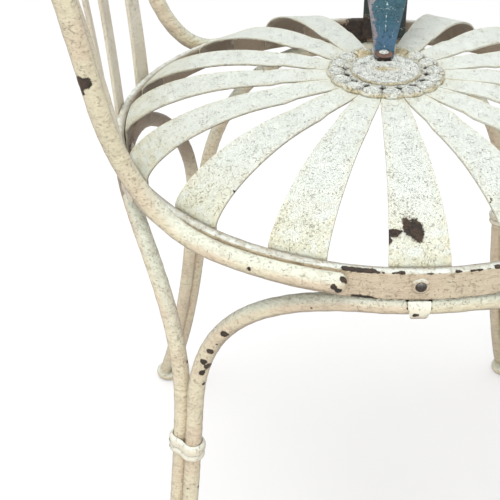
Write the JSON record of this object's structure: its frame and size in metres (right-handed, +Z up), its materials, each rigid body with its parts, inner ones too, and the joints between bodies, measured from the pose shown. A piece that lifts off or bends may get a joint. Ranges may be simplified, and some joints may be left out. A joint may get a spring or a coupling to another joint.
{
  "type": "garden chair",
  "caption": "Round garden chair of painted steel with a sprung sunburst seat, a rod hoop back with flat slats and arched rod legs on round pads.",
  "frame": {"origin": "middle of the bounding box, on the floor", "axes": "+Z up, -Y the way the sitter faces, +X to the sitter's left"},
  "size_m": [0.4144, 0.462, 0.8591],
  "materials": {
    "cream_paint": "old greenish white paint, crazed, chipped to dark metal, thin at the edges",
    "brushed_cream_paint": "thick brushed cream paint, lumpy, chipped to black, brown where it is thin",
    "blue_paint": "slate blue paint, scratched and worn to grey along one edge",
    "rusty_steel": "bare steel, dark and rusty"
  },
  "bodies": {
    "root": {"arch_clip_back": "brushed_cream_paint", "arch_clip_front": "brushed_cream_paint", "arch_clip_left": "brushed_cream_paint", "arch_clip_right": "brushed_cream_paint", "back_hoop": "brushed_cream_paint", "back_slat_1": "brushed_cream_paint", "back_slat_2": "brushed_cream_paint", "back_slat_3": "brushed_cream_paint", "back_slat_4": "brushed_cream_paint", "collar_back_left": "brushed_cream_paint", "collar_back_right": "brushed_cream_paint", "collar_front_left": "brushed_cream_paint", "collar_front_right": "brushed_cream_paint", "foot_back_left": "brushed_cream_paint", "foot_back_right": "brushed_cream_paint", "foot_front_left": "brushed_cream_paint", "foot_front_right": "brushed_cream_paint", "hub_backing_disc": "brushed_cream_paint", "hub_cap": "cream_paint", "hub_rivet": "rusty_steel", "hub_rosette": "cream_paint", "leg_arch_back": "brushed_cream_paint", "leg_arch_front": "brushed_cream_paint", "leg_arch_left": "brushed_cream_paint", "leg_arch_right": "brushed_cream_paint", "replacement_rivet": "rusty_steel", "replacement_slat": "blue_paint", "seat_ring": "brushed_cream_paint", "seat_slat_01": "cream_paint", "seat_slat_02": "cream_paint", "seat_slat_03": "cream_paint", "seat_slat_04": "cream_paint", "seat_slat_05": "cream_paint", "seat_slat_06": "cream_paint", "seat_slat_07": "cream_paint", "seat_slat_08": "cream_paint", "seat_slat_10": "cream_paint", "seat_slat_11": "cream_paint", "seat_slat_12": "cream_paint", "seat_slat_13": "cream_paint", "seat_slat_14": "cream_paint", "seat_slat_15": "cream_paint", "seat_slat_16": "cream_paint"}
  },
  "joints": []
}
